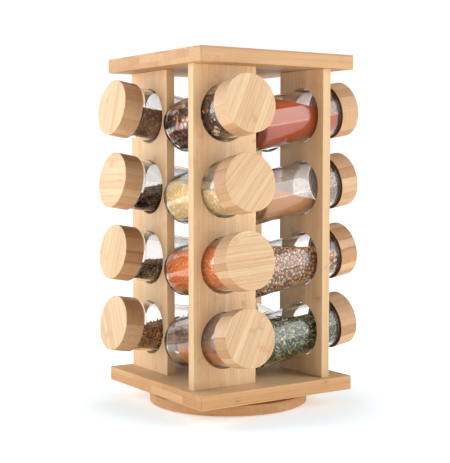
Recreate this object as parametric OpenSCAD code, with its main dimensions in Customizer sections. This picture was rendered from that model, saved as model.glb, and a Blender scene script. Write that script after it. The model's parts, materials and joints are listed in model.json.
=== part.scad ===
// Revolving spice carousel. Two square bamboo plates are joined by four upright panels that stand
// in a pinwheel, each a quarter turn from the last. Every panel holds a column of stoppered glass
// jars that lie in round holes with their lids outwards, tipped up a little so that they stay in.
// The carousel turns on a ball bearing let into a round base. Millimetres, +Z up, origin on the
// floor under the middle. The front side faces -Y.

/* [Plates] */
// Side of the square top and bottom plates
plate_side = 161.4; // [157:0.1:170]
// Thickness of each plate
plate_t = 12.6; // [11:0.1:16]
// Radius of the plates' upright corners
plate_corner_r = 1.2; // [0.4:0.1:4]

/* [Panels] */
// Height of the upright panels between the plates
panel_h = 276; // [270:1:300]
// Width of each upright panel
panel_w = 64.2; // [60:0.1:65]
// Thickness of each upright panel
panel_t = 8.4; // [7:0.1:9]
// Distance from a plate's edge in to the panel's outer face
panel_inset = 21.3; // [20:0.1:22.5]
// Distance from a plate's corner edge to the panel's near edge
panel_offset = 5.9; // [4.8:0.1:6.1]
// Radius of the panels' upright edges
panel_edge_r = 0.8; // [0.3:0.1:2]
// Height of the tongue that enters the top plate
tongue_h = 5; // [3:0.5:7]
// Thickness of the tongue
tongue_t = 4.2; // [3:0.1:5]
// Bare width left at each end of the tongue
tongue_shoulder = 8; // [5:1:16]

/* [Jar holes] */
// Distance between the centres of neighbouring rows
row_pitch = 65; // [58:0.5:65]
// Radius of the hole that a jar lies in
hole_r = 24.5; // [24.4:0.1:25.5]
// Angle by which the jars tip up towards their lids
tilt = 9.5; // [8:0.5:10]

/* [Glass jars] */
// Outer radius of the jar
jar_r = 23.1; // [21:0.1:23.1]
// Length of the jar's body, from its foot to the top of its shoulder
jar_body_l = 85.7; // [84:0.1:86.4]
// Thickness of the jar's wall
jar_wall = 2.2; // [1.6:0.1:3]
// Thickness of the jar's foot
jar_foot_t = 4.2; // [3:0.1:6]
// Radius of the rounded edge round the foot
jar_foot_r = 2.6; // [1:0.1:4]
// Radius of the rounded shoulder under the neck
jar_shoulder_r = 3.6; // [3.4:0.1:3.8]
// Length of the neck above the shoulder
neck_l = 10.6; // [6:0.1:11]
// Distance along the jar from its foot to the middle of the panel
jar_reach = 62.2; // [60:0.1:62.4]

/* [Lids] */
// Radius of the bamboo lid
lid_r = 24.9; // [23.5:0.1:26]
// Length of the lid along the jar
lid_l = 18.4; // [15:0.1:22]
// Radius of the hollow turned into the lid
lid_hollow_r = 21; // [20.8:0.1:22]
// Depth of that hollow
lid_hollow_l = 11.5; // [11.4:0.1:12]
// Width of the bevel round the lid's edges
lid_bevel = 0.4; // [0.2:0.1:1]
// Radius of the seal's flange, which shows between lid and glass
seal_flange_r = 21.5; // [21.2:0.1:22.6]
// Thickness of the seal's flange
seal_flange_t = 0.9; // [0.6:0.1:1.4]

/* [Base] */
// Radius of the round base
base_r = 72.6; // [68:0.1:76]
// Thickness of the round base
base_t = 9.4; // [9:0.1:14]
// Open gap between the base and the bottom plate
base_gap = 4.1; // [3.6:0.1:6]
// Height by which the feet lift the base off the floor
foot_proud = 1; // [0.6:0.1:3]
// Radius of a foot
foot_r = 6; // [4:0.5:9]
// Distance of the feet from the middle
foot_circle_r = 60; // [40:1:62]
// Number of feet
foot_count = 4; // [3:1:8]

/* [Bearing] */
// Depth to which each race is let into the wood
race_pocket = 3; // [2:0.1:3.4]
// Outer radius of the lower race
race_r = 48; // [44:0.5:52]
// Radius of the circle that the balls run on
ball_circle_r = 38; // [34:0.5:38]
// Radius of a ball
ball_r = 2.5; // [2:0.1:2.6]
// Radius of the eyelet hole in the middle of both races
race_eye_r = 5; // [3:0.5:10]

/* [Screws] */
// Radius of a screw's shank
screw_r = 1.7; // [1.2:0.1:2]
// Radius of a screw's head
screw_head_r = 3.4; // [3:0.1:4]
// Length of a screw with its head
screw_l = 30; // [24:1:40]
// Distance from a panel's middle to each of its screws
screw_offset = 17; // [12:1:22]

/* [Hidden] */
$fn = 96;
sides = ["front", "right", "back", "left"];
rows = 4;
slack = 0.1;      // play of a piece that is let into another
seat_gap = 0.15;  // play between a lid's seal and the glass
bore_gap = 0.25;  // play between the seal and the jar's neck
race_gap = 0.4;   // play round the crimped rim of the bearing
over = 1;         // how far a cutter runs past what it cuts

// Heights above the floor
base_z = foot_proud;
base_top_z = base_z + base_t;
bottom_plate_z = base_top_z + base_gap;
panel_z = bottom_plate_z + plate_t;
top_plate_z = panel_z + panel_h;
row_margin = (panel_h - (rows - 1) * row_pitch) / 2;

// Middle of the front panel, and of the holes in it
panel_x = -plate_side / 2 + panel_offset + panel_w / 2;
panel_y = -plate_side / 2 + panel_inset + panel_t / 2;
screw_xs = [panel_x - screw_offset, panel_x + screw_offset];

// Sizes along a jar, counted from its foot
neck_r = jar_r - jar_shoulder_r - 0.2;
mouth_r = neck_r - jar_wall + 0.2;
neck_top = jar_body_l + neck_l;
lid_rim = jar_body_l + seat_gap + seal_flange_t;
lid_hollow_top = lid_rim + lid_hollow_l;
seal_bore_r = neck_r + bore_gap;
seal_pad_t = lid_hollow_top - neck_top - 2 * seat_gap;

// Bearing
ball_z = (base_top_z + bottom_plate_z) / 2;
ball_count = floor(180 / asin((ball_r + slack / 2) / ball_circle_r));
groove_r = ball_r + slack;
race_plate_t = race_pocket + 0.2;
race_bottom_z = base_top_z - race_pocket;
race_top_z = bottom_plate_z + race_pocket;
race_rim_t = 1.8;
race_lip_t = 1.1;
race_flange_t = 1.3;
race_flange_z = race_top_z - race_plate_t;
race_lip_z = race_flange_z + race_flange_t + 0.3;

function numbered(prefix) = [for (side = sides, row = [1:rows]) str(prefix, side, "_", row)];

function row_z(row) = panel_z + row_margin + (rows - row) * row_pitch;

// Turns what is drawn for the front side round to another side
module on_side(side) {
    rotate([0, 0, 90 * search([side], sides)[0]]) children();
}

// Puts what is drawn along +Z, from the jar's foot to its lid, into one hole of the carousel
module in_hole(side, row) {
    on_side(side) translate([panel_x, panel_y, row_z(row)])
        rotate([90 - tilt, 0, 0]) translate([0, 0, -jar_reach]) children();
}

// Upright block, centred on the axis, whose four upright edges have radius r
module rounded_block(x, y, z, r) {
    translate([-x / 2 + r, -y / 2, 0]) cube([x - 2 * r, y, z]);
    translate([-x / 2, -y / 2 + r, 0]) cube([x, y - 2 * r, z]);
    for (i = [-1, 1], j = [-1, 1])
        translate([i * (x / 2 - r), j * (y / 2 - r), 0]) cylinder(r = r, h = z);
}

// One countersunk wood screw, point up, its head's face at the origin
module screw() {
    head_h = screw_head_r - screw_r;
    point_h = 2 * screw_r;
    cylinder(r1 = screw_head_r, r2 = screw_r, h = head_h);
    translate([0, 0, head_h]) cylinder(r = screw_r, h = screw_l - head_h - point_h);
    translate([0, 0, screw_l - point_h]) cylinder(r1 = screw_r, r2 = 0.3, h = point_h);
}

// All the screws of one side, or the holes that they run in
module side_screws() {
    for (x = screw_xs) translate([x, panel_y, bottom_plate_z]) screw();
}

// Tongue of the front panel's top end, grown on all sides by play
module tongue(play) {
    width = panel_w - 2 * tongue_shoulder + 2 * play;
    translate([panel_x - width / 2, panel_y - tongue_t / 2 - play, top_plate_z - over])
        cube([width, tongue_t + 2 * play, tongue_h + over + play]);
}

// Half outline of a jar-shaped solid: a body with a rounded foot and shoulder, and a neck
module jar_outline(r, foot, foot_r, top, shoulder_r, neck, neck_top) {
    shoulder_z = top - shoulder_r;
    translate([0, foot]) square([r - foot_r, top - foot]);
    translate([0, foot + foot_r]) square([r, shoulder_z - foot - foot_r]);
    translate([0, shoulder_z]) square([r - shoulder_r, shoulder_r]);
    intersection() {
        union() {
            translate([r - foot_r, foot + foot_r]) circle(foot_r);
            translate([r - shoulder_r, shoulder_z]) circle(shoulder_r);
        }
        square([r, neck_top]);
    }
    translate([0, shoulder_z]) square([neck, neck_top - shoulder_z]);
}

module jar(side, row) {
    color([0.92, 0.95, 0.95, 0.45]) in_hole(side, row) rotate_extrude() difference() {
        jar_outline(jar_r, 0, jar_foot_r, jar_body_l, jar_shoulder_r, neck_r, neck_top);
        jar_outline(jar_r - jar_wall, jar_foot_t, jar_foot_r, jar_body_l - jar_wall,
            jar_shoulder_r - 1, mouth_r, neck_top + over);
    }
}

module lid(side, row) {
    lid_top = lid_rim + lid_l;
    color([0.93, 0.78, 0.57]) in_hole(side, row) rotate_extrude() polygon([
        [0, lid_hollow_top], [lid_hollow_r, lid_hollow_top], [lid_hollow_r, lid_rim],
        [lid_r - lid_bevel, lid_rim], [lid_r, lid_rim + lid_bevel],
        [lid_r, lid_top - lid_bevel], [lid_r - lid_bevel, lid_top], [0, lid_top]
    ]);
}

// Silicone ring: a flange on the glass, a sleeve round the neck and a pad over the mouth's rim
module seal(side, row) {
    sleeve_r = lid_hollow_r - slack / 2;
    sleeve_top = lid_hollow_top - slack / 2;
    color([0.95, 0.95, 0.93]) in_hole(side, row) rotate_extrude() polygon([
        [seal_bore_r, lid_rim - seal_flange_t], [seal_flange_r, lid_rim - seal_flange_t],
        [seal_flange_r, lid_rim], [sleeve_r, lid_rim], [sleeve_r, sleeve_top],
        [mouth_r - 2, sleeve_top], [mouth_r - 2, sleeve_top - seal_pad_t],
        [seal_bore_r, sleeve_top - seal_pad_t]
    ]);
}

module panel(side) {
    color([0.86, 0.70, 0.50]) on_side(side) difference() {
        union() {
            translate([panel_x, panel_y, panel_z]) rounded_block(panel_w, panel_t, panel_h, panel_edge_r);
            tongue(0);
        }
        for (row = [1:rows])
            translate([panel_x, panel_y, row_z(row)]) rotate([90, 0, 0])
                cylinder(r = hole_r, h = panel_t + 2 * over, center = true);
        side_screws();
    }
}

module bottom_plate() {
    color([0.82, 0.63, 0.42]) difference() {
        translate([0, 0, bottom_plate_z]) rounded_block(plate_side, plate_side, plate_t, plate_corner_r);
        translate([0, 0, bottom_plate_z - over]) cylinder(r = race_r + race_gap, h = race_pocket + over);
        for (side = sides) on_side(side) side_screws();
    }
}

module top_plate() {
    color([0.88, 0.72, 0.52]) difference() {
        translate([0, 0, top_plate_z]) rounded_block(plate_side, plate_side, plate_t, plate_corner_r);
        for (side = sides) on_side(side) tongue(slack);
    }
}

module panel_screws() {
    color([0.70, 0.70, 0.72]) for (side = sides) on_side(side) side_screws();
}

// Draws one thing at each foot's place
module at_feet() {
    for (i = [0:foot_count - 1]) rotate([0, 0, (i + 0.5) * 360 / foot_count])
        translate([foot_circle_r, 0, 0]) children();
}

module base_disc() {
    color([0.80, 0.60, 0.40]) difference() {
        translate([0, 0, base_z]) cylinder(r = base_r, h = base_t);
        translate([0, 0, race_bottom_z]) cylinder(r = race_r + slack, h = race_pocket + over);
        at_feet() translate([0, 0, base_z - over]) cylinder(r = foot_r + slack, h = over + foot_proud);
    }
}

module base_feet() {
    color([0.16, 0.16, 0.16]) at_feet() cylinder(r = foot_r, h = 2 * foot_proud);
}

// Ring-shaped ball groove round the bearing's axis
module ball_groove() {
    translate([0, 0, ball_z]) rotate_extrude() translate([ball_circle_r, 0]) circle(groove_r);
}

// Steel race in the base, with a rim crimped over the upper race so that the two stay together
module bearing_lower_race() {
    rim_in_r = race_r - race_rim_t;
    lip_in_r = rim_in_r - 1.2;
    lip_top_z = race_lip_z + race_lip_t;
    color([0.72, 0.73, 0.75]) difference() {
        rotate_extrude() polygon([
            [race_eye_r, race_bottom_z], [race_r, race_bottom_z], [race_r, lip_top_z],
            [lip_in_r, lip_top_z], [lip_in_r, race_lip_z], [rim_in_r, race_lip_z],
            [rim_in_r, race_bottom_z + race_plate_t], [race_eye_r, race_bottom_z + race_plate_t]
        ]);
        ball_groove();
    }
}

module bearing_upper_race() {
    flange_r = race_r - race_rim_t - race_gap;
    disc_r = flange_r - 1.2;
    color([0.72, 0.73, 0.75]) difference() {
        rotate_extrude() polygon([
            [race_eye_r, race_flange_z], [flange_r, race_flange_z],
            [flange_r, race_flange_z + race_flange_t], [disc_r, race_flange_z + race_flange_t],
            [disc_r, race_top_z], [race_eye_r, race_top_z]
        ]);
        ball_groove();
    }
}

module bearing_balls() {
    color([0.80, 0.81, 0.83]) for (i = [0:ball_count - 1]) rotate([0, 0, i * 360 / ball_count])
        translate([ball_circle_r, 0, ball_z]) sphere(r = ball_r);
}

base_disc();
base_feet();
bearing_lower_race();
bearing_balls();
bearing_upper_race();
bottom_plate();
panel_screws();
for (side = sides)
    panel(side);
top_plate();
for (side = sides, row = [1:rows]) {
    jar(side, row);
    lid(side, row);
    seal(side, row);
}
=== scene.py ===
"""Spice carousel: bamboo rack, glass jars with bamboo lids, and their fillings.

Lengths are in metres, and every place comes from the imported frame. A jar's pieces are built along
+Z from its foot and then laid along its own axis. Boards are built where their nodes stand.
"""

import json
import math
import random

import bmesh
import bpy
import numpy as np
from mathutils import Matrix, Vector, noise


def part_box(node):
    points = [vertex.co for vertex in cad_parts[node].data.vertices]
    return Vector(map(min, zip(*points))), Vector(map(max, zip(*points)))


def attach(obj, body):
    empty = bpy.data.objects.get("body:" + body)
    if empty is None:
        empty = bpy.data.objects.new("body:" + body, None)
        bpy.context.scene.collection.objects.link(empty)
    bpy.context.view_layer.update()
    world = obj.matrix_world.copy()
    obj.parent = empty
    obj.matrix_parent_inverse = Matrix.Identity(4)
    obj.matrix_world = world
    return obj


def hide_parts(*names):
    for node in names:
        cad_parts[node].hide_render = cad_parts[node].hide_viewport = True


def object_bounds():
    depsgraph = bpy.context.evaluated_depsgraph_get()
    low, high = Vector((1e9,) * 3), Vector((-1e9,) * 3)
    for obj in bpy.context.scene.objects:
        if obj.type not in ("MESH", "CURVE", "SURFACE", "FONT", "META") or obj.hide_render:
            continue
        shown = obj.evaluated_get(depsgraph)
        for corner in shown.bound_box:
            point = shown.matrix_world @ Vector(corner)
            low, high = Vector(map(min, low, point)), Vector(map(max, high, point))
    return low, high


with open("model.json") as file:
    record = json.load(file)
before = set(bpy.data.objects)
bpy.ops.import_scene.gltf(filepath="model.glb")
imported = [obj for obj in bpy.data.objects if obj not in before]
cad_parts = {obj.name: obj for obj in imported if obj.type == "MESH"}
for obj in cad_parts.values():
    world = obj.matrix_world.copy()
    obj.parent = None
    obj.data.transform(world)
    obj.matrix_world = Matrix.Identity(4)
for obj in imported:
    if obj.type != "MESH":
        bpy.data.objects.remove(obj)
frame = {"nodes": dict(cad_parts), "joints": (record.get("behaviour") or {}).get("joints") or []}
cad_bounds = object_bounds()

MM = 0.001
SIDES = ("front", "right", "back", "left")
ROWS = (1, 2, 3, 4)
X = Vector((1, 0, 0))
Y = Vector((0, 1, 0))
UP = Vector((0, 0, 1))
ON_FACE = 0.05 * MM     # a point this close to a face counts as lying on it


# -------- helpers for meshes

def srgb(r, g, b):
    """A linear colour from the 0 to 255 values of a colour chart."""
    def linear(c):
        c /= 255
        return c / 12.92 if c <= 0.04045 else ((c + 0.055) / 1.055) ** 2.4
    return (linear(r), linear(g), linear(b), 1.0)


def shaded(colour, share):
    return tuple(c * share for c in colour[:3]) + (1.0,)


def new_object(name, data, matrix=None):
    obj = bpy.data.objects.new(name, data)
    bpy.context.scene.collection.objects.link(obj)
    if matrix is not None:
        obj.matrix_world = matrix
    return obj


def mesh_from(verts, faces, sharp_angle=35):
    """A smooth-shaded mesh that keeps the edges steeper than sharp_angle, in degrees."""
    mesh = bpy.data.meshes.new("mesh")
    mesh.from_pydata([tuple(v) for v in verts], [], faces)
    mesh.update()
    mesh.shade_smooth()
    mesh.set_sharp_from_angle(angle=math.radians(sharp_angle))
    return mesh


def arc(center_r, center_z, radius, start, end, steps):
    """Points of an arc in a half outline, from the angle start to end, in degrees."""
    angles = [math.radians(start + (end - start) * i / steps) for i in range(steps + 1)]
    return [(center_r + radius * math.cos(a), center_z + radius * math.sin(a)) for a in angles]


def lathe(outline, segments=96, sharp_angle=35, closed=False):
    """Turns a half outline of (radius, z) points round +Z. A closed outline makes a ring."""
    verts, rings, faces = [], [], []
    for r, z in outline:
        if r < 1e-7:
            rings.append([len(verts)])
            verts.append((0, 0, z))
            continue
        rings.append(list(range(len(verts), len(verts) + segments)))
        for i in range(segments):
            a = 2 * math.pi * i / segments
            verts.append((r * math.cos(a), r * math.sin(a), z))
    for low, high in zip(rings, rings[1:] + (rings[:1] if closed else [])):
        for i in range(segments):
            j = (i + 1) % segments
            quad = [low[i % len(low)], low[j % len(low)], high[j % len(high)], high[i % len(high)]]
            face = list(dict.fromkeys(quad))
            if len(face) > 2:
                faces.append(face)
    return mesh_from(verts, faces, sharp_angle)


def round_sharp_edges(bm, width, segments, angle=40):
    """Rounds every edge of a bmesh that is sharper than angle, in degrees."""
    edges = [e for e in bm.edges if e.is_manifold and e.calc_face_angle(0) > math.radians(angle)]
    bmesh.ops.bevel(bm, geom=edges, offset=width, segments=segments, profile=0.5, affect="EDGES")


def finish_bmesh(bm):
    bmesh.ops.recalc_face_normals(bm, faces=bm.faces)
    mesh = bpy.data.meshes.new("mesh")
    bm.to_mesh(mesh)
    bm.free()
    mesh.shade_smooth()
    return mesh


def weighted_normals(obj):
    """Keeps broad flat faces looking flat beside their rounded edges."""
    modifier = obj.modifiers.new("weighted_normals", "WEIGHTED_NORMAL")
    modifier.keep_sharp = True
    modifier.weight = 80


def set_grain(obj, along, across, thick, offset):
    """Writes each point's place in its board: across the strips, through it, along the fibres."""
    count = len(obj.data.vertices)
    co = np.empty(count * 3)
    obj.data.vertices.foreach_get("co", co)
    co = co.reshape(-1, 3)
    grain = np.stack([co @ np.array(axis) for axis in (across, thick, along)], 1) + np.array(offset)
    layer = obj.data.attributes.new("grain", "FLOAT_VECTOR", "POINT")
    layer.data.foreach_set("vector", grain.ravel())


def mark(obj, name, chosen):
    """Writes a point attribute: what chosen, a test or a share, gives for each point's place."""
    layer = obj.data.attributes.new(name, "FLOAT", "POINT")
    layer.data.foreach_set("value", [float(chosen(v.co)) for v in obj.data.vertices])


def paint(obj, material):
    obj.data.materials.clear()
    obj.data.materials.append(material)


def add_piece(name, mesh, material, body, matrix=None):
    """A piece in the frame, with the body that it rides on."""
    mesh.name = name
    obj = new_object(name, mesh, matrix)
    paint(obj, material)
    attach(obj, body)
    return obj


def add_look(node, mesh, material, body, matrix=None):
    """A piece that stands for a CAD node."""
    obj = add_piece(node + ".look", mesh, material, body, matrix)
    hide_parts(node)
    return obj


# -------- helpers for materials

class Shader:
    """A node material that is written as nested calls. A socket or a number goes in anywhere."""

    def __init__(self, name):
        self.material = bpy.data.materials.new(name)
        self.material.use_nodes = True
        self.tree = self.material.node_tree
        self.bsdf = self.tree.nodes["Principled BSDF"]
        self.output = self.tree.nodes["Material Output"]

    def node(self, kind, inputs=None, **settings):
        made = self.tree.nodes.new("ShaderNode" + kind)
        for key, value in settings.items():
            setattr(made, key, value)
        for key, value in (inputs or {}).items():
            self.link(value, made.inputs[key])
        return made

    def link(self, value, socket):
        if isinstance(value, bpy.types.NodeSocket):
            self.tree.links.new(value, socket)
        else:
            socket.default_value = value

    def set(self, **values):
        """Sets sockets of the Principled shader; an underscore stands for a space."""
        for key, value in values.items():
            self.link(value, self.bsdf.inputs[key.replace("_", " ")])

    def math(self, operation, a, b=0.0, c=0.0, clamp=False):
        made = self.node("Math", {0: a, 1: b, 2: c}, operation=operation, use_clamp=clamp)
        return made.outputs[0]

    def times(self, a, b):
        return self.math("MULTIPLY", a, b)

    def scaled(self, value, factor, offset=0.0):
        return self.math("MULTIPLY_ADD", value, factor, offset)

    def ramp(self, value, low, high, to_low=0.0, to_high=1.0):
        """Runs smoothly from to_low to to_high as value goes from low to high."""
        made = self.node("MapRange", {0: value, 1: low, 2: high, 3: to_low, 4: to_high},
                         interpolation_type="SMOOTHSTEP")
        return made.outputs[0]

    def mix(self, factor, a, b, blend="MIX"):
        made = self.node("Mix", {0: factor, 6: a, 7: b}, data_type="RGBA", blend_type=blend)
        return made.outputs[2]

    def vector(self, x, y, z):
        return self.node("CombineXYZ", {0: x, 1: y, 2: z}).outputs[0]

    def parts(self, vector):
        return self.node("SeparateXYZ", {0: vector}).outputs

    def stretched(self, vector, x, y, z):
        made = self.node("VectorMath", {0: vector, 1: (x, y, z)}, operation="MULTIPLY")
        return made.outputs[0]

    def moved(self, vector, by):
        return self.node("VectorMath", {0: vector, 1: by}, operation="ADD").outputs[0]

    def noise(self, vector, scale=1.0, detail=2.0, roughness=0.5):
        made = self.node("TexNoise", {"Vector": vector, "Scale": scale, "Detail": detail,
                                      "Roughness": roughness})
        return made.outputs[0]

    def random(self, vector):
        """A value and a colour that are the same all over one whole-numbered cell."""
        made = self.node("TexWhiteNoise", {"Vector": vector}, noise_dimensions="3D")
        return made.outputs[0], made.outputs[1]

    def attribute(self, name):
        return self.node("Attribute", attribute_name=name).outputs

    def place(self):
        """The point's place on its own object, in metres."""
        return self.node("TexCoord").outputs["Object"]

    def bump(self, height, distance, strength):
        inputs = {"Height": height, "Distance": distance, "Strength": strength}
        return self.node("Bump", inputs).outputs[0]


def bamboo(name, strip, layer, light, dark, contrast, joint_shade, streaks):
    """Laminated bamboo, read from the grain attribute.

    strip is a strip's width, layer its thickness or None for a single layer, contrast how much the
    strips differ, joint_shade how dark the glue lines are and streaks how plain the fibres.
    """
    s = Shader(name)
    line = srgb(188, 134, 90)
    grain = s.attribute("grain")[1]
    sway = s.noise(s.stretched(grain, 40, 40, 9), detail=1)
    u, v, w = s.parts(grain)
    u = s.math("ADD", u, s.scaled(sway, 0.0006, -0.0003))
    shifted = s.math("DIVIDE", u, strip)
    layer_id = 0.0
    if layer:
        layer_place = s.math("DIVIDE", v, layer)
        layer_id = s.math("FLOOR", layer_place)
        shifted = s.math("ADD", shifted, s.times(layer_id, 0.37))
    strip_id = s.math("FLOOR", shifted)
    value, colour = s.random(s.vector(strip_id, layer_id, 0.0))
    red, green, blue = s.parts(colour)

    # Fibres: fine streaks that run far along the board and are narrow across it
    own = s.moved(grain, s.stretched(colour, 3.0, 3.0, 3.0))
    fine = s.noise(s.stretched(own, 2400, 2400, 24), detail=3, roughness=0.6)
    streak = s.noise(s.stretched(own, 480, 480, 7), detail=3, roughness=0.6)
    cloud = s.noise(s.stretched(own, 60, 60, 16), detail=3, roughness=0.6)
    dashes = s.noise(s.stretched(own, 1500, 1500, 130), detail=1)

    # Dark line where two strips are glued
    edge = s.times(s.math("PINGPONG", shifted, 0.5), strip)
    if layer:
        layer_edge = s.times(s.math("PINGPONG", layer_place, 0.5), layer)
        edge = s.math("MINIMUM", edge, layer_edge)
    joint = s.ramp(edge, 0.00008, 0.00042, 1.0, 0.0)
    joint = s.times(joint, s.scaled(red, 0.8, 0.2))

    # Bamboo's knots: a mottled band across one strip, at its own place in each strip
    spacing = 0.19
    along = s.math("ADD", s.math("DIVIDE", w, spacing), green)
    apart = s.times(s.math("PINGPONG", along, 0.5), spacing)
    ragged = s.noise(s.stretched(own, 420, 420, 300), detail=3, roughness=0.7)
    band = s.ramp(s.math("ADD", apart, s.scaled(ragged, 0.008, -0.004)), 0.0005, 0.0060, 1.0, 0.0)
    knot = s.times(band, s.ramp(ragged, 0.40, 0.62))

    tone = s.math("ADD", s.scaled(value, contrast, 0.45 - contrast / 2),
                  s.scaled(streak, streaks, -streaks / 2))
    tone = s.math("ADD", tone, s.scaled(cloud, 0.5, -0.25), clamp=True)
    colour = s.mix(tone, light, dark)
    warm = s.mix(s.scaled(blue, 0.25), colour, srgb(244, 206, 172), "MULTIPLY")
    colour = s.mix(0.6, colour, warm)
    fibre = s.times(s.ramp(fine, 0.46, 0.70), 0.42 * streaks)
    colour = s.mix(fibre, colour, line)
    dash = s.times(s.ramp(dashes, 0.62, 0.74), 0.30 * streaks)
    colour = s.mix(dash, colour, line)
    colour = s.mix(s.times(knot, 0.5), colour, line)
    colour = s.mix(s.times(joint, joint_shade), colour, line)

    # Worn edges are pale, and marks on the mesh tell narrow edges in painted lamp light, cut ends
    # and parts in painted shade
    worn = s.node("NewGeometry").outputs["Pointiness"]
    colour = s.mix(s.ramp(worn, 0.53, 0.62, 0.0, 0.35), colour, srgb(250, 228, 192))
    # Narrow edges: a cooler, slightly darker tint that is painted lamp light on the lit edges
    rim = s.mix(1.0, colour, srgb(236, 240, 238), "MULTIPLY")
    colour = s.mix(s.attribute("rim")[2], colour, rim)
    cut = s.mix(s.scaled(value, 0.9, -0.1), srgb(240, 234, 232), srgb(214, 196, 184))
    colour = s.mix(s.attribute("cut")[2], colour, s.mix(1.0, colour, cut, "MULTIPLY"))
    # Painted shade: dark brown over the marked parts, for the shadow that falls there
    colour = s.mix(s.attribute("shade")[2], colour, srgb(100, 64, 44))

    height = s.math("ADD", s.scaled(fine, 0.5), s.scaled(joint, -0.8))
    height = s.math("ADD", height, s.scaled(streak, 0.5))
    s.set(Base_Color=colour, Roughness=s.scaled(fine, 0.16, 0.40), Specular_IOR_Level=0.28,
          Coat_Weight=0.02, Coat_Roughness=0.35, Normal=s.bump(height, 0.00006, 0.7))
    return s.material


def clear_glass(name):
    """Jar glass with a faint haze. Rays from lamps pass through, so that its contents are lit."""
    s = Shader(name)
    faint = s.noise(s.stretched(s.place(), 160, 160, 30), detail=2)
    s.set(Base_Color=(0.995, 0.992, 0.988, 1), Roughness=0.02, IOR=1.47, Transmission_Weight=1.0,
          Normal=s.bump(faint, 0.00004, 0.25))
    through = s.node("BsdfTransparent", {"Color": (0.93, 0.935, 0.93, 1)}).outputs[0]
    from_lamp = s.node("LightPath").outputs["Is Shadow Ray"]
    mixed = s.node("MixShader", {0: from_lamp, 1: s.bsdf.outputs[0], 2: through})
    s.link(mixed.outputs[0], s.output.inputs["Surface"])
    return s.material


def spice_dust(name, colour, cover):
    """Fine dust on the inside of the glass, in specks and smears. cover is the share it hides."""
    s = Shader(name)
    place = s.place()
    specks = s.noise(place, scale=1500, detail=2, roughness=0.7)
    smear = s.noise(s.stretched(place, 70, 70, 45), detail=3, roughness=0.6)
    smeared = s.ramp(smear, 0.30, 0.66, cover * 0.55, cover)
    alpha = s.times(s.ramp(specks, 0.34, 0.66), smeared)
    alpha = s.times(alpha, s.scaled(s.attribute("bare")[2], 0.95, 0.05))
    pale = tuple(1 - (1 - c) * 0.8 for c in colour[:3]) + (1,)
    s.set(Base_Color=s.mix(specks, colour, pale), Roughness=0.9, Specular_IOR_Level=0.1,
          Alpha=alpha)
    return s.material


def silicone(name):
    """Milky silicone rubber, smooth and a little see-through."""
    s = Shader(name)
    speck = s.noise(s.place(), scale=900, detail=2)
    s.set(Base_Color=s.mix(speck, srgb(226, 220, 215), srgb(208, 200, 194)), Roughness=0.28,
          Subsurface_Weight=0.4, Subsurface_Radius=(0.003, 0.003, 0.003),
          Normal=s.bump(speck, 0.00003, 0.4))
    return s.material


def steel(name):
    s = Shader(name)
    brushed = s.noise(s.stretched(s.place(), 2500, 2500, 120), detail=2)
    stain = s.noise(s.place(), scale=70, detail=3)
    s.set(Base_Color=s.mix(stain, srgb(205, 206, 208), srgb(168, 169, 172)), Metallic=1.0,
          Roughness=s.scaled(brushed, 0.25, 0.2), Normal=s.bump(brushed, 0.00002, 0.4))
    return s.material


def rubber(name):
    s = Shader(name)
    grit = s.noise(s.place(), scale=1500, detail=3)
    s.set(Base_Color=s.mix(grit, srgb(34, 34, 35), srgb(52, 51, 50)),
          Roughness=s.scaled(grit, 0.2, 0.65), Normal=s.bump(grit, 0.00005, 0.6))
    return s.material


# -------- jar geometry, from the frame

def jar_axis(side, row):
    """Lays a piece that is built along +Z from the jar's foot along the jar, its +Y uppermost."""
    joint = next(j for j in frame["joints"] if j["name"] == f"jar_{side}_{row}_slide")
    axis = Vector(joint["axis"]).normalized()
    low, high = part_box(f"lid_{side}_{row}")
    lid_middle = (low + high) / 2
    jar_points = frame["nodes"][f"jar_{side}_{row}"].data.vertices
    foot = lid_middle + axis * min((v.co - lid_middle).dot(axis) for v in jar_points)
    local_y = (UP - axis * UP.dot(axis)).normalized()
    local_x = local_y.cross(axis)
    rotation = Matrix((local_x, local_y, axis)).transposed()
    return Matrix.Translation(foot) @ rotation.to_4x4()


def spans(node, matrix):
    """(lowest, highest, greatest radius) of a CAD node along and round a jar's axis."""
    inverse = matrix.inverted()
    points = [inverse @ v.co for v in frame["nodes"][node].data.vertices]
    heights = [p.z for p in points]
    return min(heights), max(heights), max(math.hypot(p.x, p.y) for p in points)


FIRST_JAR = jar_axis("front", 1)
_, NECK_TOP, JAR_R = spans("jar_front_1", FIRST_JAR)
LID_RIM, LID_TOP, LID_R = spans("lid_front_1", FIRST_JAR)
FLANGE_LOW, SEAL_TOP, FLANGE_R = spans("seal_front_1", FIRST_JAR)
TILT = math.asin((FIRST_JAR.to_3x3() @ UP).z)     # slope of a jar's axis, foot down

WALL = 2.0 * MM
FOOT_T = 2.8 * MM       # thickness of the foot
FOOT_R = 2.0 * MM       # rounding between the foot and the side
SHOULDER_R = 1.7 * MM
SHOULDER_TOP = FLANGE_LOW - 0.15 * MM
NECK_R = JAR_R - 3.8 * MM
MOUTH_R = NECK_R - 2.0 * MM
INSIDE_R = JAR_R - WALL
LID_HOLLOW_R = 21.0 * MM
LID_HOLLOW_DEPTH = 11.5 * MM
SLEEVE_R = 20.95 * MM   # outside of the seal's sleeve, a push fit in the lid's hollow
HOLE_R = 24.5 * MM      # holes in the panels
POCKET_R = 48.4 * MM    # the bearing's pocket under the bottom plate
POCKET_T = 3 * MM


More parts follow.
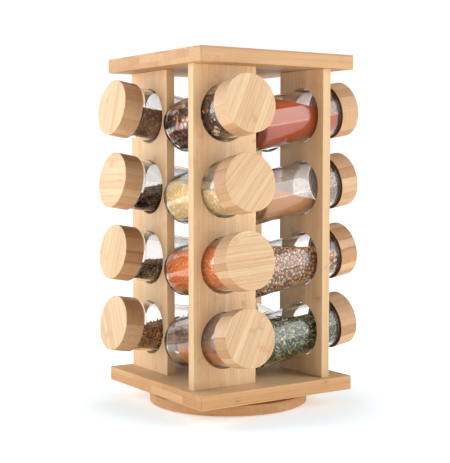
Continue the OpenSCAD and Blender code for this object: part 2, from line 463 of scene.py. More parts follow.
def inner_outline():
    """The jar's hollow, from the middle of its foot to the neck's mouth."""
    corner = 1.6 * MM
    shoulder = 1.2 * MM
    inner_top = SHOULDER_TOP - 1.9 * MM
    points = [(0, FOOT_T + 0.5 * MM), (INSIDE_R * 0.55, FOOT_T + 0.25 * MM)]
    points += arc(INSIDE_R - corner, FOOT_T + corner, corner, -90, 0, 6)
    points += arc(INSIDE_R - shoulder, inner_top - shoulder, shoulder, 0, 80, 6)
    points += [(MOUTH_R + 0.1 * MM, inner_top + 0.7 * MM), (MOUTH_R, inner_top + 1.8 * MM)]
    return points


def jar_mesh():
    """A glass jar with a hollowed foot, a real wall and a neck with a rounded lip."""
    outline = [(0, 1.0 * MM), (JAR_R * 0.55, 0.9 * MM), (JAR_R * 0.74, 0.45 * MM)]
    outline += [(JAR_R * 0.80, 0)]
    outline += arc(JAR_R - FOOT_R, FOOT_R, FOOT_R, -90, 0, 8)
    outline += arc(JAR_R - SHOULDER_R, SHOULDER_TOP - SHOULDER_R, SHOULDER_R, 0, 84, 8)
    outline += [(NECK_R + 0.1 * MM, SHOULDER_TOP + 0.1 * MM), (NECK_R, SHOULDER_TOP + 0.8 * MM)]
    lip = 0.9 * MM
    outline += arc(NECK_R - lip, NECK_TOP - lip, lip, 0, 90, 4)
    outline += arc(MOUTH_R + lip, NECK_TOP - lip, lip, 90, 180, 4)
    outline += list(reversed(inner_outline()))
    return lathe(outline, segments=128, sharp_angle=60)


def lid_mesh():
    """A round lid with softened edges, hollow underneath."""
    edge = 0.45 * MM
    hollow_top = LID_RIM + LID_HOLLOW_DEPTH
    outline = [(0, hollow_top), (LID_HOLLOW_R, hollow_top)]
    outline += [(LID_HOLLOW_R, LID_RIM + 0.4 * MM), (LID_HOLLOW_R + 0.4 * MM, LID_RIM)]
    outline += arc(LID_R - edge, LID_RIM + edge, edge, -90, 0, 3)
    outline += arc(LID_R - edge, LID_TOP - edge, edge, 0, 90, 3)
    outline += [(LID_R * 0.5, LID_TOP), (0, LID_TOP)]
    return lathe(outline, segments=128, sharp_angle=35)


def on_lid_underside(p):
    """Whether a point of the lid lies on its rim's face or in its hollow, where it takes painted
    shade.
    """
    in_hollow = math.hypot(p.x, p.y) < LID_HOLLOW_R + MM and p.z < LID_TOP - MM
    return p.z < LID_RIM + ON_FACE or in_hollow


def seal_mesh():
    """A silicone ring: the flange that shows, a grooved sleeve on the neck, a pad on the mouth."""
    bore = NECK_R + 0.2 * MM
    half = (LID_RIM - FLANGE_LOW) / 2
    groove_r = SLEEVE_R - 0.25 * MM
    pad_r = MOUTH_R - 2 * MM
    pad_low = NECK_TOP + 0.1 * MM
    outline = [(bore, FLANGE_LOW + 0.1 * MM), (bore + 0.3 * MM, FLANGE_LOW)]
    outline += arc(FLANGE_R - half, FLANGE_LOW + half, half, -90, 90, 6)
    outline += [(SLEEVE_R, LID_RIM)]
    for i in range(4):
        low = LID_RIM + (0.8 + 2.4 * i) * MM
        outline += [(groove_r, low), (groove_r, low + 1.0 * MM), (SLEEVE_R, low + 1.3 * MM)]
    outline += [(SLEEVE_R, SEAL_TOP), (pad_r, SEAL_TOP), (pad_r, pad_low), (bore, pad_low)]
    return lathe(outline, segments=96, sharp_angle=40, closed=True)


# -------- boards

def thin_axis(low, high):
    """The axis through an upright board between two corners: 0 for X, 1 for Y."""
    return 0 if high.x - low.x < high.y - low.y else 1


def hole_height(side, row):
    """Height of a hole's middle: where the jar's axis passes the panel's middle plane."""
    matrix = jar_axis(side, row)
    low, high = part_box(f"panel_{side}")
    middle = (low + high) / 2
    thin = thin_axis(low, high)
    foot, axis = matrix.translation, matrix.to_3x3() @ UP
    return (foot + axis * ((middle[thin] - foot[thin]) / axis[thin])).z


def reach_to_edge(dw, dz, half_w, below, above):
    """How far it is from a hole's middle to the edge of its stretch of panel, towards (dw, dz)."""
    to_side = half_w / abs(dw) if abs(dw) > 1e-9 else math.inf
    to_end = (above if dz > 0 else below) / abs(dz) if abs(dz) > 1e-9 else math.inf
    return min(to_side, to_end)


def panel_mesh(side):
    """A board with a round hole at each row, built where it stands, and the axis it is wide along.

    Each hole has a stretch of board round it, with a ring of faces from the hole to the stretch's
    edge on both sides. The outlines of the two sides are joined last.
    """
    low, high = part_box(f"panel_{side}")
    low.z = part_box("bottom_plate")[1].z
    high.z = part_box("top_plate")[0].z
    thin = thin_axis(low, high)
    wide = 1 - thin
    front, back = low[thin], high[thin]
    middle = (low[wide] + high[wide]) / 2
    half_w = (high[wide] - low[wide]) / 2
    rows = [hole_height(side, row) for row in reversed(ROWS)]
    cuts = [low.z] + [(a + b) / 2 for a, b in zip(rows, rows[1:])] + [high.z]
    bm = bmesh.new()
    segments = 96

    def point(t, w, z):
        co = [0, 0, z]
        co[thin], co[wide] = t, w
        return bm.verts.new(co)

    for hole_z, bottom, top in zip(rows, cuts, cuts[1:]):
        corners = [math.atan2(z - hole_z, w) for z in (bottom, top) for w in (half_w, -half_w)]
        angles = [2 * math.pi * i / segments for i in range(segments)]
        for c in corners:
            off = [abs(math.remainder(a - c, 2 * math.pi)) for a in angles]
            angles[off.index(min(off))] = c
        loops = {}
        for t in (front, back):
            for kind in ("rim", "cell"):
                loop = []
                for a in angles:
                    dw, dz = math.cos(a), math.sin(a)
                    reach = HOLE_R
                    if kind == "cell":
                        reach = reach_to_edge(dw, dz, half_w, hole_z - bottom, top - hole_z)
                    loop.append(point(t, middle + reach * dw, hole_z + reach * dz))
                loops[t, kind] = loop
        for i in range(segments):
            j = (i + 1) % segments
            for a, b in (((front, "rim"), (front, "cell")), ((back, "cell"), (back, "rim")),
                         ((back, "rim"), (front, "rim"))):
                bm.faces.new((loops[a][i], loops[a][j], loops[b][j], loops[b][i]))
    bmesh.ops.remove_doubles(bm, verts=bm.verts, dist=1e-6)
    outlines = [e for e in bm.edges if e.is_boundary]
    bmesh.ops.bridge_loops(bm, edges=outlines)
    bmesh.ops.recalc_face_normals(bm, faces=bm.faces)
    round_sharp_edges(bm, 0.55 * MM, 3)
    return finish_bmesh(bm), wide


def plate_mesh(node, pocket_r, pocket_t):
    """A square plate with rounded corners and edges, and a round pocket underneath if asked for."""
    low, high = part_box(node)
    bm = bmesh.new()
    bmesh.ops.create_cube(bm, size=1)
    size = high - low
    for v in bm.verts:
        v.co = (low + high) / 2 + Vector((v.co.x * size.x, v.co.y * size.y, v.co.z * size.z))
    upright = [e for e in bm.edges if abs(e.verts[0].co.z - e.verts[1].co.z) > size.z / 2]
    bmesh.ops.bevel(bm, geom=upright, offset=1.2 * MM, segments=5, profile=0.5, affect="EDGES")
    round_sharp_edges(bm, 0.6 * MM, 3, angle=60)
    mesh = finish_bmesh(bm)
    if pocket_r:
        plate = new_object("plate", mesh)
        start, roof = low.z - 10 * MM, low.z + pocket_t
        outline = [(0, start), (pocket_r, start), (pocket_r, roof), (0, roof)]
        cutter = new_object("cutter", lathe(outline))
        cut = plate.modifiers.new("pocket", "BOOLEAN")
        cut.object = cutter
        cut.solver = "EXACT"
        bpy.context.view_layer.update()
        shown = plate.evaluated_get(bpy.context.evaluated_depsgraph_get())
        mesh = bpy.data.meshes.new_from_object(shown)
        bpy.data.objects.remove(plate)
        bpy.data.objects.remove(cutter)
    return mesh


def disc_mesh():
    """The round base with rounded edges and the bearing's pocket."""
    low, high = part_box("base_disc")
    radius = (high.x - low.x) / 2
    edge = 0.8 * MM
    race_low, race_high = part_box("bearing_lower_race")
    pocket_r = (race_high.x - race_low.x) / 2 + 0.1 * MM
    outline = [(0, low.z), (radius * 0.6, low.z)]
    outline += arc(radius - edge, low.z + edge, edge, -90, 0, 4)
    outline += arc(radius - edge, high.z - edge, edge, 0, 90, 4)
    outline += [(pocket_r, high.z), (pocket_r, race_low.z), (0, race_low.z)]
    return lathe(outline, segments=160, sharp_angle=35)


def feet_mesh():
    """Round rubber pads with a soft edge and a dimple, at the feet's places."""
    points = [Vector(v.co.xy) for v in frame["nodes"]["base_feet"].data.vertices]
    low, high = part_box("base_feet")
    apart = 20 * MM         # more than the width of a foot, less than the gap between two
    centres = []
    for p in points:
        if not any((p - c).length < apart for c in centres):
            foot = [q for q in points if (q - p).length < apart]
            centres.append(sum(foot, Vector((0, 0))) / len(foot))
    radius = 6 * MM
    edge = 0.5 * MM
    dimple = low.z + 0.4 * MM
    outline = [(0, dimple), (radius * 0.35, dimple), (radius * 0.45, low.z), (radius - edge, low.z)]
    outline += arc(radius - edge, low.z + edge, edge, -90, 0, 3)
    outline += [(radius, high.z), (0, high.z)]
    verts, faces = [], []
    pad = lathe(outline, segments=48)
    for c in centres:
        start = len(verts)
        verts += [(v.co.x + c.x, v.co.y + c.y, v.co.z) for v in pad.vertices]
        faces += [[start + i for i in p.vertices] for p in pad.polygons]
    return mesh_from(verts, faces)


# -------- fillings

# From a jar's foot to the middle of its hole, along the jar: where a filling's level is given
PIVOT_Z = 62.2 * MM


def inner_radius(z):
    """Radius of the jar's hollow at a height above its foot."""
    wall = [(r, h) for r, h in inner_outline() if r > INSIDE_R * 0.6] + [(MOUTH_R, NECK_TOP)]
    return float(np.interp(z, [h for _, h in wall], [r for r, _ in wall]))


def surface_height(z, level, slope, clear):
    """Where a filling's level surface cuts the jar's upright plane at z, over the jar's axis."""
    slid = max(0.0, min(1.0, (clear - z) / (9 * MM))) ** 1.5 * 2 * INSIDE_R
    return (level + (PIVOT_Z - z) * math.sin(TILT)) / math.cos(TILT) + slope * (z - PIVOT_Z) - slid


def filling_ring(z, radius, y_cut, cell, bumps, rough, seed):
    """One closed ring of a filling at z: round the glass, then back across the surface at y_cut."""
    arc_points = max(24, int(2 * math.pi * INSIDE_R / cell))
    chord_points = max(10, int(2 * INSIDE_R / cell))
    alpha = math.acos(y_cut / radius)
    lump_scale = 0.9 / max(rough, 0.0002)
    ring = []
    for i in range(arc_points + 1):
        a = math.pi / 2 + alpha + (2 * math.pi - 2 * alpha) * i / arc_points
        p = Vector((radius * math.cos(a), radius * math.sin(a), z))
        if rough:
            lump = noise.noise(p * lump_scale + Vector((seed, 0, 0)))
            p.xy -= p.xy.normalized() * rough * (0.5 + 0.5 * lump)
        ring.append(p)
    reach = radius * math.sin(alpha)
    for i in range(1, chord_points):
        x = reach * (1 - 2 * i / chord_points)
        share = math.sqrt(max(0.0, 1 - (x / reach) ** 2)) if reach > 1e-6 else 0.0
        heave = noise.fractal(Vector((x * 90, z * 90, seed * 5.1)), 1.0, 2.0, 4) * bumps * share
        grit = noise.noise(Vector((x, z, seed)) * lump_scale) * rough if rough else 0.0
        limit = math.sqrt(max(radius * radius - x * x, 0.0))
        ring.append(Vector((x, min(limit, y_cut + heave + grit), z)))
    return ring


def skin_over(rings):
    """A closed mesh over rings that have as many points each, with a fan over either end."""
    count = len(rings[0])
    bm = bmesh.new()
    loops = [[bm.verts.new(p) for p in ring] for ring in rings]
    middles = [bm.verts.new(sum(ring, Vector()) / count) for ring in (rings[0], rings[-1])]
    for low, high in zip(loops, loops[1:]):
        for i in range(count):
            j = (i + 1) % count
            bm.faces.new((low[i], low[j], high[j], high[i]))
    for i in range(count):
        bm.faces.new((middles[0], loops[0][(i + 1) % count], loops[0][i]))
    for i in range(count):
        bm.faces.new((middles[1], loops[-1][i], loops[-1][(i + 1) % count]))
    bmesh.ops.remove_doubles(bm, verts=bm.verts, dist=2e-6)
    bmesh.ops.dissolve_degenerate(bm, edges=bm.edges, dist=1e-6)
    mesh = finish_bmesh(bm)
    mesh.set_sharp_from_angle(angle=math.radians(50))
    return mesh


def filling_mesh(level, slope, clear, seed, cell, bumps, inset=0.0, rough=0.0):
    """What fills a jar up to a level surface, level being its height over the hole's middle.

    The surface heaves by bumps, the whole skin is uneven by rough, slope tips the surface along the
    jar, and the filling has slid away from the jar's first stretch, clear long. The mesh's faces are
    a cell wide, and inset draws the whole skin in.
    """
    foot = FOOT_T + 0.3 * MM + inset
    top = NECK_TOP - 0.6 * MM - inset
    gap = inset + 0.12 * MM

    def cut_at(z):
        wave = noise.noise(Vector((z * 55, seed * 3.7, 0.2))) * bumps * 1.6
        return surface_height(z, level, slope, clear) + wave - inset

    rings = []
    for z in list(np.arange(foot, top, cell)) + [top]:
        radius = inner_radius(z) - gap
        if cut_at(z) > 0.3 * MM - radius:
            radius = max(radius, 1 * MM)
            y_cut = max(-radius, min(radius, cut_at(z)))
            rings.append(filling_ring(z, radius, y_cut, cell, bumps, rough, seed))
    return skin_over(rings)


def spread_points(mesh, spacing, rng):
    """Points on a mesh no closer than spacing, each with its normal."""
    mesh.calc_loop_triangles()
    co = np.array([v.co for v in mesh.vertices])
    tris = np.array([t.vertices for t in mesh.loop_triangles])
    a, b, c = co[tris[:, 0]], co[tris[:, 1]], co[tris[:, 2]]
    cross = np.cross(b - a, c - a)
    area = np.linalg.norm(cross, axis=1) / 2
    tries = int(area.sum() / spacing ** 2 * 5)
    pick = rng.choice(len(tris), tries, p=area / area.sum())
    u, v = rng.random(tries), rng.random(tries)
    fold = u + v > 1
    u[fold], v[fold] = 1 - u[fold], 1 - v[fold]
    points = a[pick] + u[:, None] * (b - a)[pick] + v[:, None] * (c - a)[pick]
    normals = cross[pick] / np.maximum(2 * area[pick], 1e-12)[:, None]
    cells, kept = {}, []
    for i, p in enumerate(points):
        key = tuple((p / spacing).astype(int))
        near = (cells.get((key[0] + x, key[1] + y, key[2] + z), ()) for x in (-1, 0, 1)
                for y in (-1, 0, 1) for z in (-1, 0, 1))
        if any(((points[k] - p) ** 2).sum() < spacing ** 2 for some in near for k in some):
            continue
        cells.setdefault(key, []).append(i)
        kept.append(i)
    return points[kept], normals[kept]


def pebble(radii, wrinkle, detail, seed, bend):
    """One small rounded body with a wrinkled skin: a peppercorn, a seed or a granule."""
    bm = bmesh.new()
    bmesh.ops.create_icosphere(bm, subdivisions=detail, radius=1)
    for v in bm.verts:
        n = 1 + wrinkle * noise.noise(v.co * 2.3 + Vector((seed * 7.3, seed, 0)))
        p = v.co * n
        v.co = Vector((p.x * radii[0], p.y * radii[1] + bend * (p.z ** 2 - 0.5), p.z * radii[2]))
    verts = np.array([v.co for v in bm.verts])
    faces = [[v.index for v in f.verts] for f in bm.faces]
    bm.free()
    return verts, faces


def flake(length, width, curl, seed):
    """One curled scrap of leaf, skin or peel, long along Z, thin along Y, uneven in outline."""
    rng = random.Random(seed)
    sides, thick = 7, 0.16 * MM
    outline = []
    for i in range(sides):
        a = 2 * math.pi * i / sides
        r = rng.uniform(0.7, 1.15)
        outline.append((math.cos(a) * width / 2 * r, math.sin(a) * length / 2 * r))
    lift = [curl * ((x * x + z * z) / (length / 2) - length / 8) for x, z in outline]
    verts = [(x, y + t, z) for t in (0, thick) for (x, z), y in zip(outline, lift)]
    faces = [list(range(sides)), [sides + i for i in reversed(range(sides))]]
    faces += [[(i + 1) % sides, i, sides + i, sides + (i + 1) % sides] for i in range(sides)]
    return np.array(verts), faces


def pebbles(count, radii, wrinkle, detail, bend=0.0):
    """A set of pebbles that differ in their wrinkles, sizes in mm."""
    radii = [r * MM for r in radii]
    return [pebble(radii, wrinkle, detail, seed, bend * MM) for seed in range(count)]


def flakes(count, length, width, curl):
    """A set of flakes that differ in outline, sizes in mm."""
    return [flake(length * MM, width * MM, curl, seed) for seed in range(count)]


def grains_mesh(surface, seed, shapes, spacing, palette, sink, lie):
    """Covers a surface with small bodies. Each colour in the palette is red, green, blue and share.

    lie is how flat the long ones lie, and sink the share of their thickness that they sink in.
    """
    rng = np.random.default_rng(seed)
    points, normals = spread_points(surface, spacing, rng)
    weights = np.array([share for _, _, _, share in palette], float)
    colours = [srgb(r, g, b) for r, g, b, _ in palette]
    all_verts, all_faces, tints, start = [], [], [], 0
    for p, n in zip(points, normals):
        verts, faces = shapes[rng.integers(len(shapes))]
        n = Vector(n)
        side = n.cross(Vector(rng.normal(size=3))).normalized()
        long_axis = (side * lie + n * rng.normal() * (1 - lie)).normalized()
        third = long_axis.cross(n).normalized()
        up = third.cross(long_axis)
        rotation = np.array(Matrix((third, up, long_axis)).transposed())
        size = rng.uniform(0.82, 1.12)
        depth = min(np.abs(verts).max(0)) * sink * 2
        all_verts.append(verts @ rotation.T * size + p - np.array(n) * depth)
        all_faces += [[start + i for i in f] for f in faces]
        start += len(verts)
        base = colours[rng.choice(len(colours), p=weights / weights.sum())]
        tints += [shaded(base, rng.uniform(0.8, 1.15))] * len(verts)
    mesh = mesh_from(np.concatenate(all_verts).tolist(), all_faces, sharp_angle=50)
    layer = mesh.attributes.new("tint", "FLOAT_COLOR", "POINT")
    layer.data.foreach_set("color", np.ravel(tints))
    return mesh


def powder(name, light, dark, speck=None, grain=1.0 * MM):
    """Ground spice: fine mottled colour, matt, gritty."""
    s = Shader(name)
    place = s.place()
    coarse = s.noise(place, scale=0.35 / grain, detail=3, roughness=0.6)
    fine = s.noise(place, scale=1.0 / grain, detail=2, roughness=0.7)
    cloud = s.noise(place, scale=55, detail=2)
    tone = s.math("ADD", s.scaled(coarse, 0.7, -0.35), s.scaled(fine, 2.2, -0.6))
    tone = s.math("ADD", tone, s.scaled(cloud, 0.5, -0.25), clamp=True)
    colour = s.mix(tone, dark, light)
    if speck is not None:
        cell = s.node("TexVoronoi", {"Vector": place, "Scale": 0.8 / grain})
        chosen = s.ramp(s.parts(cell.outputs["Color"])[0], 0.74, 0.80)
        colour = s.mix(chosen, colour, speck)
    s.set(Base_Color=colour, Roughness=0.93, Specular_IOR_Level=0.2,
          Normal=s.bump(s.math("ADD", coarse, fine), grain * 0.6, 0.9))
    return s.material


def seeds(name):
    """Whole seeds, corns or flakes, coloured one by one by the tint attribute, with painted shade in
    their creases.
    """
    s = Shader(name)
    tint = s.attribute("tint")[0]
    wrinkle = s.noise(s.place(), scale=1000, detail=3, roughness=0.6)
    # The wrinkle bump's low places are darkened: painted shade in the creases
    colour = s.mix(s.ramp(wrinkle, 0.35, 0.65, 0.22, 0.0), tint, srgb(38, 26, 18), "MULTIPLY")
    s.set(Base_Color=colour, Roughness=0.62, Specular_IOR_Level=0.35,
          Normal=s.bump(wrinkle, 0.0003, 0.8))
    return s.material


# -------- studio and camera

CAMERA_PLACE = Vector((-0.5572, -0.8330, 0.2231))
CAMERA_AZIMUTH = math.radians(33.61)    # of its view, from +Y towards +X
CAMERA_PITCH = math.radians(-3.79)
SENSOR = 36.0       # in mm, as the focal length
FOCAL_LENGTH = 84.70
LAMP_COLOUR = (0.955, 0.985, 0.99)
LAMP_TARGET = Vector((0, 0, 0.16))


def add_camera():
    data = bpy.data.cameras.new("camera")
    data.sensor_width = SENSOR
    data.lens = FOCAL_LENGTH
    data.clip_start, data.clip_end = 0.01, 100
    camera = new_object("camera", data)
    camera.location = CAMERA_PLACE
    camera.rotation_euler = (math.pi / 2 + CAMERA_PITCH, 0, -CAMERA_AZIMUTH)
    bpy.context.scene.camera = camera


def area_light(name, place, size, power):
    data = bpy.data.lights.new(name, "AREA")
    data.shape = "ELLIPSE"
    data.size, data.size_y = size
    data.energy = power
    data.color = LAMP_COLOUR
    light = new_object(name, data)
    light.location = place
    light.rotation_euler = (LAMP_TARGET - Vector(place)).to_track_quat("-Z", "Y").to_euler()


def add_world():
    """A white sweep that is seen and refracted, with darker surroundings to mirror and bounce."""
    world = bpy.data.worlds.new("studio")
    bpy.context.scene.world = world
    world.use_nodes = True
    tree = world.node_tree
    tree.nodes.clear()
    path = tree.nodes.new("ShaderNodeLightPath")
    output = tree.nodes.new("ShaderNodeOutputWorld")

    def sweep(strength, colour=(1, 1, 1, 1)):
        made = tree.nodes.new("ShaderNodeBackground")
        made.inputs[0].default_value = colour
        made.inputs[1].default_value = strength
        return made.outputs[0]

    def either(ray, otherwise, when):
        made = tree.nodes.new("ShaderNodeMixShader")
        tree.links.new(path.outputs[ray], made.inputs[0])
        tree.links.new(otherwise, made.inputs[1])
        tree.links.new(when, made.inputs[2])
        return made.outputs[0]

    white = sweep(1.03)
    surface = either("Is Glossy Ray", white, sweep(0.32))
    surface = either("Is Transmission Ray", surface, white)
    surface = either("Is Diffuse Ray", surface, sweep(0.20, (1, 0.75, 0.50, 1)))
    tree.links.new(surface, output.inputs[0])


def pale_floor(name):
    """Glowing white paper: less near the base as painted shadow, dim in mirrors, warm as painted
    bounce.
    """
    s = Shader(name)
    place = s.place()
    cloud = s.noise(place, scale=3, detail=2)
    away = s.node("VectorMath", {0: place}, operation="LENGTH").outputs["Value"]
    # Near the base the glow is weaker and bluish: painted shadow round it, on top of the lamps'
    # shadow
    far = s.ramp(away, 0.10, 0.25)
    glow = s.math("ADD", s.scaled(far, 0.50, 0.46), s.ramp(away, 0.6, 3.0, 0.0, 0.15))
    path = s.node("LightPath").outputs
    mirrored = s.math("SUBTRACT", path["Is Glossy Ray"], path["Is Transmission Ray"], clamp=True)
    glow = s.times(glow, s.scaled(mirrored, -0.6, 1.0))
    tint = s.mix(far, srgb(237, 247, 255), srgb(255, 255, 255))
    # In bounced rays the glow is warm: painted warm bounce light onto the object
    warm = s.mix(path["Is Diffuse Ray"], tint, srgb(255, 218, 178))
    s.set(Base_Color=s.mix(cloud, srgb(232, 245, 254), srgb(229, 243, 253)), Roughness=0.8,
          Specular_IOR_Level=0.05, Emission_Color=warm, Emission_Strength=glow)
    return s.material


def add_studio():
    """The world, a wide floor under the object and soft boxes round it."""
    add_world()
    floor = new_object("floor", lathe([(0, 0), (2, 0), (30, 0)], segments=64))
    floor.location.z = cad_bounds[0][2]
    paint(floor, pale_floor("floor"))

    area_light("box_right", (0.84, -1.25, 0.72), (1.14, 1.96), 15.6)
    area_light("box_left", (-1.1, 1.0, 0.6), (1.1, 1.45), 14)
    area_light("box_side", (-1.5, 0.15, 0.55), (1.2, 1.45), 4.6)
    area_light("box_top", (0.2, 0.25, 1.6), (0.9, 0.9), 5)
    bpy.context.scene.view_settings.view_transform = "Standard"


# -------- the object

add_camera()
add_studio()

BOARD = bamboo("bamboo_panels", 5.6 * MM, 40 * MM, srgb(250, 226, 190), srgb(230, 192, 148),
               contrast=0.35, joint_shade=0.20, streaks=0.85)
TOP = bamboo("bamboo_top", 21 * MM, 6.3 * MM, srgb(213, 181, 140), srgb(188, 145, 102),
             contrast=0.6, joint_shade=0.3, streaks=0.8)
BOTTOM = bamboo("bamboo_bottom", 54 * MM, 6.3 * MM, srgb(248, 215, 169), srgb(226, 184, 133),
                contrast=0.25, joint_shade=0.3, streaks=0.8)
BASE = bamboo("bamboo_base", 21 * MM, 4.7 * MM, srgb(212, 177, 138), srgb(186, 147, 106),
              contrast=0.5, joint_shade=0.35, streaks=0.7)
LID = bamboo("bamboo_lids", 6.4 * MM, None, srgb(239, 222, 190), srgb(214, 181, 144),
             contrast=0.5, joint_shade=0.6, streaks=0.9)
GLASS = clear_glass("jar_glass")
SILICONE = silicone("seal_silicone")
STEEL = steel("zinc_steel")
RUBBER = rubber("foot_rubber")

for node in ("bearing_lower_race", "bearing_balls", "bearing_upper_race", "panel_screws"):
    paint(frame["nodes"][node], STEEL)


def add_plate(node, wood, start, pocket_r=0.0, pocket_t=0.0):
    """A square plate with its fibres along X. start says which stretch of the wood it shows."""
    plate = add_look(node, plate_mesh(node, pocket_r, pocket_t), wood, "carousel")
    low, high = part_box(node)
    set_grain(plate, X, Y, UP, (start[0], start[1], start[2] - low.z))
    if node == "bottom_plate":
        edge = 0.3 * MM
        mark(plate, "cut", lambda p: (low.z + edge < p.z < high.z - edge)
             * (1.0 if abs(p.x) > high.x - edge else 0.6))
    weighted_normals(plate)


def add_base():
    disc = add_look("base_disc", disc_mesh(), BASE, "base")
    set_grain(disc, (0.5, 0.866, 0), (0.866, -0.5, 0), UP, (0.4, 0.011, 0))
    weighted_normals(disc)
    add_look("base_feet", feet_mesh(), RUBBER, "base")


def add_panel(side, number):
    """An upright panel with pale edges tinted as painted lamp light, or on the left one edge in
    painted shade.
    """
    name = f"panel_{side}"
    mesh, wide = panel_mesh(side)
    panel = add_look(name, mesh, BOARD, "carousel")
    across, through = (X, Y) if wide == 0 else (Y, X)
    offset = (0.3 + 0.0173 * number, 0.2, 0.11 + 0.137 * number)
    set_grain(panel, UP, across, through, offset)
    low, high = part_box(name)
    # The left panel's -Y edge takes painted shade; the other panels' narrow edges take painted lamp
    # light
    if side == "left":
        mark(panel, "shade", lambda p: 0.15 * (p[wide] - low[wide] < ON_FACE))
    else:
        mark(panel, "rim", lambda p: min(p[wide] - low[wide], high[wide] - p[wide]) < ON_FACE)
    weighted_normals(panel)


add_plate("top_plate", TOP, (0.031, 0.0071, 0))
add_plate("bottom_plate", BOTTOM, (0.153, 0.0032, 0.0126), POCKET_R, POCKET_T)
add_base()
for number, side in enumerate(SIDES):
    add_panel(side, number)

# Angle of each lid's strips round the jar's axis, in degrees, as the lids happen to be pushed on
STRIP_ANGLES = {
    "front": (62, 46, 4, 60), "right": (100, 30, 70, 150),
    "back": (20, 85, 130, 50), "left": (86, 2, 84, 125),
}

# Each jar's filling, from the top row down: the height of its surface over the hole's middle in mm,
# a recipe, how the surface tips towards the lid, and how much of the jar's foot it has slid away
# from, in mm
FILLINGS = {
    "front": ((14.5, "mixed_pepper", 0, 0), (1, "yellow_granules", -0.11, 0),
              (15, "chilli_powder", 0, 0), (-7, "cinnamon", 0, 24)),
    "right": ((6.5, "paprika", -0.19, 0), (-12, "ginger", -0.24, 0),
              (10, "coriander", -0.05, 0), (9, "dried_herb", 0, 0)),
    "back": ((10, "chilli_flakes", 0, 0), (4, "salt", 0, 0),
             (8, "cumin", 0.1, 0), (0, "peppercorns", 0, 0)),
    "left": ((4, "ground_allspice", 0.1, 0), (-3.5, "coarse_pepper", -0.26, 0),
             (-3.5, "olive_granules", 0, 0), (1.5, "cumin", -0.1, 0)),
}

# Dust left on the glass inside, by side and row: its colour and the share of the glass it hides
DUST = {
    ("front", 2): ((206, 196, 184), 0.30), ("front", 4): ((150, 108, 84), 0.50),
    ("right", 1): ((190, 128, 100), 0.50), ("right", 2): ((188, 158, 140), 0.68),
    ("back", 1): ((200, 150, 120), 0.20), ("back", 2): ((236, 234, 230), 0.30),
    ("left", 1): ((214, 208, 200), 0.16), ("left", 2): ((216, 212, 204), 0.22),
    ("left", 3): ((220, 214, 206), 0.16),
}

# Ground spices: light and dark colour, colour of the odd speck, grain size and unevenness in mm
POWDERS = {
    "yellow_granules": ((250, 218, 156), (228, 178, 102), (255, 236, 196), 1.4, 0.5),
    "chilli_powder": ((236, 134, 66), (180, 66, 24), (244, 160, 96), 1.0, 0.3),
    "cinnamon": ((216, 136, 78), (178, 98, 50), None, 0.7, 0.2),
    "paprika": ((188, 84, 30), (146, 46, 14), None, 0.9, 0.2),
    "ginger": ((200, 144, 96), (170, 112, 70), None, 0.8, 0.2),
    "salt": ((246, 240, 232), (222, 208, 196), None, 1.0, 0.3),
    "ground_allspice": ((156, 106, 74), (82, 54, 40), (176, 132, 94), 1.1, 0.4),
}

# Whole spices: what shapes they have and how far apart they lie, their colours with the share of
# each, how deep they sink in and how flat they lie
SEED_KINDS = {
    "peppercorns": dict(
        shapes=pebbles(4, (2.1, 2.1, 2.1), 0.22, 2), spacing=3.7 * MM,
        palette=[(96, 72, 56, 5), (132, 104, 80, 3), (62, 46, 38, 3)], sink=0.35, lie=0.3),
    "coarse_pepper": dict(
        shapes=pebbles(5, (1.0, 0.9, 1.2), 0.4, 1), spacing=1.7 * MM,
        palette=[(98, 64, 46, 5), (140, 92, 66, 3), (58, 38, 30, 3), (180, 132, 98, 1.5)],
        sink=0.5, lie=0.4),
    "coriander": dict(
        shapes=pebbles(4, (1.55, 1.55, 1.75), 0.12, 2), spacing=2.75 * MM,
        palette=[(218, 167, 124, 5), (186, 135, 97, 4), (236, 198, 158, 2)], sink=0.5, lie=0.4),
    "olive_granules": dict(
        shapes=pebbles(5, (0.8, 0.7, 1.0), 0.4, 1), spacing=1.4 * MM,
        palette=[(176, 134, 80, 5), (126, 92, 60, 4), (84, 64, 46, 2.5), (220, 176, 106, 2)],
        sink=0.5, lie=0.4),
    "cumin": dict(
        shapes=pebbles(4, (0.62, 0.62, 2.7), 0.12, 2, bend=0.5), spacing=1.75 * MM,
        palette=[(204, 142, 82, 5), (152, 100, 58, 4), (240, 186, 118, 2)], sink=0.7, lie=0.93),
    "mixed_pepper": dict(
        shapes=pebbles(4, (1.9, 1.7, 2.2), 0.5, 2) + flakes(4, 6.6, 4.4, 0.45)
        + pebbles(2, (0.9, 0.8, 3.0), 0.4, 1), spacing=2.4 * MM,
        palette=[(58, 38, 44, 8), (100, 66, 58, 3), (222, 144, 94, 2.2), (240, 212, 180, 0.9),
                 (156, 64, 42, 1.6)], sink=0.55, lie=0.88),
    "chilli_flakes": dict(
        shapes=flakes(5, 3.8, 2.6, 0.5), spacing=1.9 * MM,
        palette=[(176, 40, 20, 6), (212, 84, 34, 3), (232, 190, 110, 1.5)], sink=0.8, lie=0.92),
    "dried_herb": dict(
        shapes=flakes(6, 3.8, 1.5, 0.6), spacing=1.6 * MM,
        palette=[(106, 112, 62, 4), (166, 166, 112, 3.5), (52, 60, 28, 4.5),
                 (216, 208, 164, 1.4)], sink=0.7, lie=0.72),
}
SEED_PAINT = {name: seeds("seed_" + name) for name in SEED_KINDS}
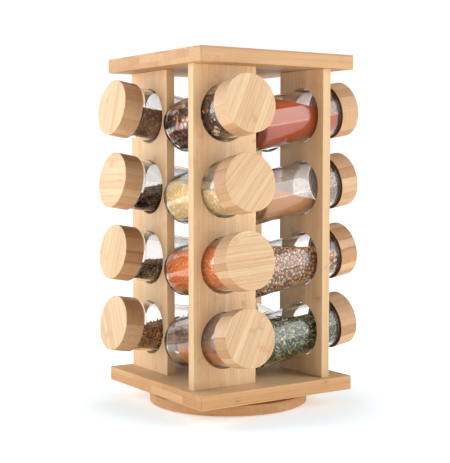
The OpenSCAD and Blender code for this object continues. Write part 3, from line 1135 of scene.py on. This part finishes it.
# Under each crust lies a core in the darkest seed colour, darkened further: painted shade in the
# gaps between the spices
SHADE_CORE_PAINT = {}
for recipe, kind in SEED_KINDS.items():
    deepest = min((srgb(r, g, b) for r, g, b, _ in kind["palette"]), key=sum)
    SHADE_CORE_PAINT[recipe] = powder("core_" + recipe, shaded(deepest, 0.4), shaded(deepest, 0.15))
POWDER_PAINT = {
    name: powder("ground_" + name, srgb(*light), srgb(*dark), speck and srgb(*speck), grain * MM)
    for name, (light, dark, speck, grain, _) in POWDERS.items()}


def jar_number(side, row):
    return SIDES.index(side) * len(ROWS) + row


def add_filling(side, row, matrix):
    """A powder's one solid body, or a crust of whole spices over a core in painted shade."""
    level, recipe, slope, clear = FILLINGS[side][row - 1]
    name = f"filling_{side}_{row}"
    body = f"jar_{side}_{row}"
    seed = jar_number(side, row)
    shape = dict(level=level * MM, slope=slope, clear=clear * MM, seed=seed)
    if recipe in POWDERS:
        rough = POWDERS[recipe][4] * MM
        mesh = filling_mesh(cell=1.1 * MM, bumps=0.9 * MM, rough=rough, **shape)
        add_piece(name, mesh, POWDER_PAINT[recipe], body, matrix)
        return
    shape.update(cell=2.5 * MM, bumps=1.2 * MM)
    crust = grains_mesh(filling_mesh(**shape), seed, **SEED_KINDS[recipe])
    add_piece(name, crust, SEED_PAINT[recipe], body, matrix)
    core = filling_mesh(inset=0.75 * MM, **shape)
    add_piece(name + ".core", core, SHADE_CORE_PAINT[recipe], body, matrix)


def add_dust(side, row, matrix):
    """A film of specks just inside the glass, from the foot to the shoulder."""
    colour, cover = DUST[side, row]
    name = f"dust_{side}_{row}"
    level, _, slope, clear = FILLINGS[side][row - 1]
    heights = np.linspace(FOOT_T + 2.4 * MM, SHOULDER_TOP - 3.5 * MM, 40)
    outline = [(INSIDE_R - 0.03 * MM, z) for z in heights]
    outline += [(INSIDE_R - 0.08 * MM, z) for z in reversed(heights)]
    mesh = lathe(outline, segments=96, closed=True)
    dust = spice_dust(name, srgb(*colour), cover)
    film = add_piece(name, mesh, dust, f"jar_{side}_{row}", matrix)
    mark(film, "bare", lambda p: p.y > surface_height(p.z, level * MM, slope, clear * MM) - 0.5 * MM)


JAR_MESH = jar_mesh()
LID_MESH = lid_mesh()
SEAL_MESH = seal_mesh()


def add_jar(side, row, matrix):
    name = f"jar_{side}_{row}"
    add_look(name, JAR_MESH.copy(), GLASS, name, matrix)


def add_lid(side, row, matrix):
    """A lid with its strips at their own angle, cut ends round its side and painted shade
    underneath.
    """
    name = f"lid_{side}_{row}"
    lid = add_look(name, LID_MESH.copy(), LID, name, matrix)
    angle = math.radians(STRIP_ANGLES[side][row - 1])
    along = (math.cos(angle), math.sin(angle), 0)
    across = (-math.sin(angle), math.cos(angle), 0)
    number = jar_number(side, row)
    offset = (0.5 + 0.0613 * number, 0.02 + 0.041 * number, 0.3 + 0.173 * number)
    set_grain(lid, along, across, UP, offset)
    mark(lid, "cut", lambda p: math.hypot(p.x, p.y) > LID_R - ON_FACE)
    # Painted shade on the rim's face and in the hollow, for the shadow between lid, seal and glass
    mark(lid, "shade", on_lid_underside)
    weighted_normals(lid)


def add_seal(side, row, matrix):
    name = f"seal_{side}_{row}"
    add_look(name, SEAL_MESH.copy(), SILICONE, f"lid_{side}_{row}", matrix)


for side in SIDES:
    for row in ROWS:
        matrix = jar_axis(side, row)
        add_jar(side, row, matrix)
        add_lid(side, row, matrix)
        add_seal(side, row, matrix)
        add_filling(side, row, matrix)
        if (side, row) in DUST:
            add_dust(side, row, matrix)
